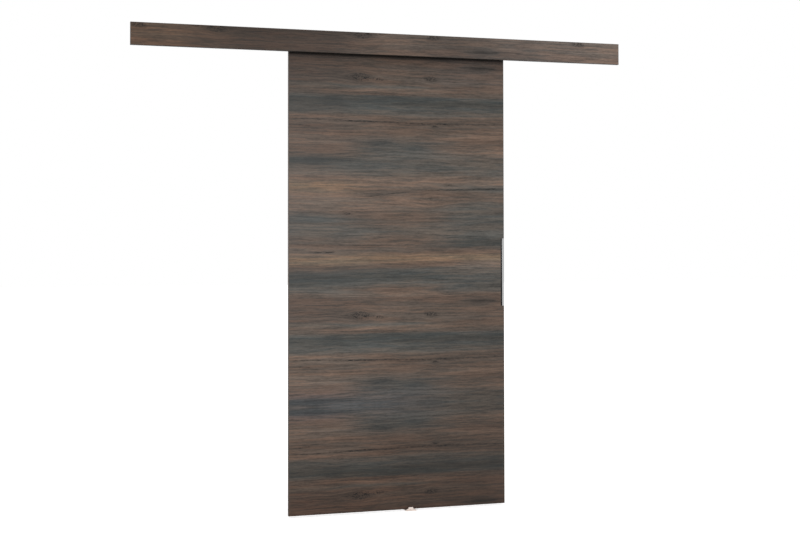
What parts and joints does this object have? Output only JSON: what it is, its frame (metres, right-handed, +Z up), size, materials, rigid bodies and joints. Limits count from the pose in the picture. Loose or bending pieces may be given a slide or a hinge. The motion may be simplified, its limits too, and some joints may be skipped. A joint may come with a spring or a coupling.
{
  "type": "wall-hung sliding door",
  "caption": "Wall-hung sliding door: a flat laminated leaf on two trolleys in a top track behind a long fascia, with an edge pull and a floor guide.",
  "frame": {"origin": "On the floor, in the middle of the floor guide's base, under the leaf's mid-plane.", "axes": "+X to the right along the wall as seen by a person facing the door, +Y into the wall, +Z up."},
  "size_m": [2.2405, 0.079, 2.1155],
  "materials": {
    "dark_wood_decor": "matt printed laminate, dark smoked oak with horizontal grain",
    "edge_band": "matt edge band in the decor's dark brown",
    "track_aluminium": "natural anodised extrusion",
    "satin_aluminium": "satin anodised extrusion",
    "galvanised_steel": "galvanised sheet",
    "zinc_plated_fasteners": "zinc plated",
    "zinc_casting": "die-cast zinc, dull grey",
    "axle_steel": "turned steel",
    "bearing_steel": "ground bearing steel",
    "wheel_acetal": "moulded white acetal",
    "guide_nylon": "moulded off-white nylon",
    "buffer_rubber": "black rubber"
  },
  "bodies": {
    "fixed_frame": {"top_track": "track_aluminium", "track_bolts": "zinc_plated_fasteners", "track_nuts": "zinc_plated_fasteners", "wall_bracket_1": "galvanised_steel", "wall_bracket_2": "galvanised_steel", "wall_bracket_3": "galvanised_steel", "wall_bracket_4": "galvanised_steel", "fascia_bracket_1": "galvanised_steel", "fascia_bracket_2": "galvanised_steel", "fascia_bracket_3": "galvanised_steel", "fascia_bracket_4": "galvanised_steel", "fascia_board": "dark_wood_decor", "fascia_band_top": "edge_band", "fascia_band_bottom": "edge_band", "fascia_band_left": "edge_band", "fascia_band_right": "edge_band", "fascia_screws": "zinc_plated_fasteners", "stop_screws": "zinc_plated_fasteners", "floor_guide": "guide_nylon", "end_stop_left": "zinc_casting", "end_stop_right": "zinc_casting", "stop_buffer_left": "buffer_rubber", "stop_buffer_right": "buffer_rubber"},
    "sliding_door": {"door_leaf": "dark_wood_decor", "leaf_band_left": "edge_band", "leaf_band_right_upper": "edge_band", "leaf_band_right_lower": "edge_band", "leaf_band_top": "edge_band", "leaf_band_bottom": "edge_band", "edge_handle": "satin_aluminium", "handle_screws": "zinc_plated_fasteners", "hanger_screws": "zinc_plated_fasteners", "lock_nuts": "zinc_plated_fasteners", "hanger_plate_left": "galvanised_steel", "hanger_plate_right": "galvanised_steel", "hanging_bolt_left": "zinc_plated_fasteners", "hanging_bolt_right": "zinc_plated_fasteners", "trolley_body_left": "zinc_casting", "trolley_body_right": "zinc_casting", "trolley_axles_left": "axle_steel", "trolley_axles_right": "axle_steel"},
    "wheel_left_1_set": {"wheel_left_1": "wheel_acetal", "bearing_left_1": "bearing_steel"},
    "wheel_left_2_set": {"wheel_left_2": "wheel_acetal", "bearing_left_2": "bearing_steel"},
    "wheel_left_3_set": {"wheel_left_3": "wheel_acetal", "bearing_left_3": "bearing_steel"},
    "wheel_left_4_set": {"wheel_left_4": "wheel_acetal", "bearing_left_4": "bearing_steel"},
    "wheel_right_1_set": {"wheel_right_1": "wheel_acetal", "bearing_right_1": "bearing_steel"},
    "wheel_right_2_set": {"wheel_right_2": "wheel_acetal", "bearing_right_2": "bearing_steel"},
    "wheel_right_3_set": {"wheel_right_3": "wheel_acetal", "bearing_right_3": "bearing_steel"},
    "wheel_right_4_set": {"wheel_right_4": "wheel_acetal", "bearing_right_4": "bearing_steel"}
  },
  "joints": [
    {"name": "door_slide", "type": "slide", "parent": "fixed_frame", "child": "sliding_door", "axis": [1, 0, 0], "range_m": [-0.4075, 0.5125]},
    {"name": "wheel_left_1_roll", "type": "hinge", "parent": "sliding_door", "child": "wheel_left_1_set", "pos_m": [-0.4725, -0.0103, 2.08422], "axis": [0, 1, 0], "continuous": true},
    {"name": "wheel_left_2_roll", "type": "hinge", "parent": "sliding_door", "child": "wheel_left_2_set", "pos_m": [-0.4725, 0.0103, 2.08422], "axis": [0, 1, 0], "continuous": true},
    {"name": "wheel_left_3_roll", "type": "hinge", "parent": "sliding_door", "child": "wheel_left_3_set", "pos_m": [-0.4125, -0.0103, 2.08422], "axis": [0, 1, 0], "continuous": true},
    {"name": "wheel_left_4_roll", "type": "hinge", "parent": "sliding_door", "child": "wheel_left_4_set", "pos_m": [-0.4125, 0.0103, 2.08422], "axis": [0, 1, 0], "continuous": true},
    {"name": "wheel_right_1_roll", "type": "hinge", "parent": "sliding_door", "child": "wheel_right_1_set", "pos_m": [0.3075, -0.0103, 2.08422], "axis": [0, 1, 0], "continuous": true},
    {"name": "wheel_right_2_roll", "type": "hinge", "parent": "sliding_door", "child": "wheel_right_2_set", "pos_m": [0.3075, 0.0103, 2.08422], "axis": [0, 1, 0], "continuous": true},
    {"name": "wheel_right_3_roll", "type": "hinge", "parent": "sliding_door", "child": "wheel_right_3_set", "pos_m": [0.3675, -0.0103, 2.08422], "axis": [0, 1, 0], "continuous": true},
    {"name": "wheel_right_4_roll", "type": "hinge", "parent": "sliding_door", "child": "wheel_right_4_set", "pos_m": [0.3675, 0.0103, 2.08422], "axis": [0, 1, 0], "continuous": true}
  ],
  "couplings": [
    {"joint": "wheel_left_1_roll", "follows": "door_slide", "rad_per_m": 90.909},
    {"joint": "wheel_left_2_roll", "follows": "door_slide", "rad_per_m": 90.909},
    {"joint": "wheel_left_3_roll", "follows": "door_slide", "rad_per_m": 90.909},
    {"joint": "wheel_left_4_roll", "follows": "door_slide", "rad_per_m": 90.909},
    {"joint": "wheel_right_1_roll", "follows": "door_slide", "rad_per_m": 90.909},
    {"joint": "wheel_right_2_roll", "follows": "door_slide", "rad_per_m": 90.909},
    {"joint": "wheel_right_3_roll", "follows": "door_slide", "rad_per_m": 90.909},
    {"joint": "wheel_right_4_roll", "follows": "door_slide", "rad_per_m": 90.909}
  ]
}
